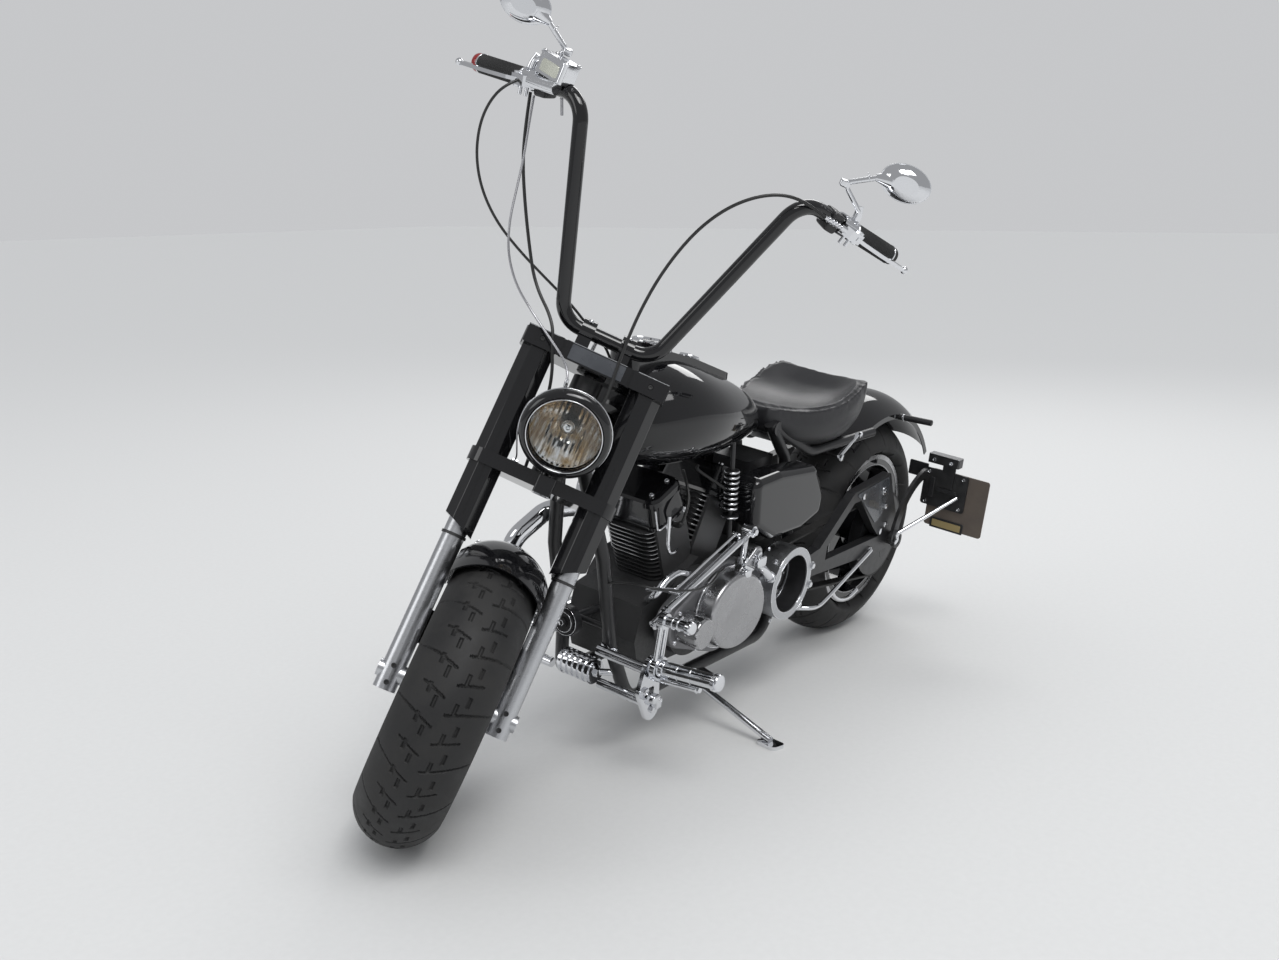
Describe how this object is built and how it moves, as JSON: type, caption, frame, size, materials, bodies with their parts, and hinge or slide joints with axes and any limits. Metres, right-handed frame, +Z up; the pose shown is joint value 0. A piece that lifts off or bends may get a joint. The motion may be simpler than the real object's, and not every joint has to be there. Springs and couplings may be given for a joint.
{
  "type": "chopper motorcycle",
  "caption": "Air-cooled vee engine chopper with a tall handlebar, raked fork and wide tyres, leaning on its side stand; wheels, steering and stand move.",
  "frame": {"origin": "centre of the bounding box's base, on the floor that both tyres and the stand's foot rest on", "axes": "+X forward along the machine, +Y to the rider's left, +Z up"},
  "size_m": [2.302, 1.0554, 1.7138],
  "materials": {
    "tyre": "matt black tread rubber",
    "wheel_black": "gloss black with a turned bright lip",
    "disc_steel": "ground steel",
    "satin_black": "satin black powder coat",
    "gloss_black": "deep gloss black",
    "satin_alloy": "brushed alloy",
    "satin_chrome": "satin chrome",
    "chrome": "polished chrome",
    "engine_black": "wrinkle black",
    "engine_grey": "cast grey alloy",
    "grip_rubber": "soft black rubber",
    "belt_rubber": "toothed belt",
    "seat_leather": "grained black leather",
    "lamp_glass": "clear glass",
    "lamp_red": "dark red lens",
    "plate_blank": "blank enamel",
    "cable_black": "black sheathed cable"
  },
  "bodies": {
    "chassis": {"main_frame": "satin_black", "crankcase": "engine_black", "cylinders": "engine_grey", "rocker_boxes": "gloss_black", "pushrod_tubes": "chrome", "primary_case": "engine_grey", "primary_covers": "satin_chrome", "pulley_cover": "satin_alloy", "exhaust": "chrome", "air_cleaner": "chrome", "drive_belt": "belt_rubber", "swingarm": "satin_black", "rear_caliper": "satin_black", "fuel_tank": "gloss_black", "tank_console": "gloss_black", "rear_mudguard": "gloss_black", "seat": "seat_leather", "side_covers": "gloss_black", "battery_box": "satin_black", "spring_strut": "chrome", "foot_controls": "chrome", "foot_pedals": "chrome", "shift_rods": "chrome", "horn": "satin_black", "ribbed_canister": "chrome", "plate_carrier": "chrome", "number_plate": "plate_blank", "tail_lamp": "lamp_red", "rear_indicators": "satin_black"},
    "steering": {"fork_sliders": "satin_alloy", "fork_covers": "gloss_black", "fork_clamps": "satin_black", "handlebar": "satin_black", "grips": "grip_rubber", "clutch_lever": "chrome", "brake_lever": "chrome", "mirrors": "chrome", "headlight_shell": "gloss_black", "headlight_rim": "gloss_black", "headlight_glass": "lamp_glass", "front_mudguard": "gloss_black", "front_calipers": "satin_black", "control_cables": "cable_black"},
    "front_wheel_set": {"front_tyre": "tyre", "front_wheel": "wheel_black", "front_discs": "disc_steel"},
    "rear_wheel_set": {"rear_tyre": "tyre", "rear_wheel": "wheel_black", "rear_pulley": "satin_black", "rear_disc": "disc_steel"},
    "stand_leg": {"side_stand": "chrome"}
  },
  "joints": [
    {"name": "steering_turn", "type": "hinge", "parent": "chassis", "child": "steering", "pos_m": [1.01696, -0.18889, -0.01107], "axis": [-0.5047, 0.1306, 0.8534], "range_deg": [-75, 0]},
    {"name": "front_wheel_spin", "type": "hinge", "parent": "steering", "child": "front_wheel_set", "pos_m": [0.86748, -0.11901, 0.29599], "axis": [-0.5255, 0.7378, -0.4237], "continuous": true},
    {"name": "rear_wheel_spin", "type": "hinge", "parent": "chassis", "child": "rear_wheel_set", "pos_m": [-0.81577, -0.13724, 0.32646], "axis": [0, 0.9885, -0.1513], "continuous": true},
    {"name": "side_stand_fold", "type": "hinge", "parent": "chassis", "child": "stand_leg", "pos_m": [0.05478, -0.05143, 0.09388], "axis": [-0.0434, 0.3459, 0.9373], "range_deg": [0, 95]}
  ]
}
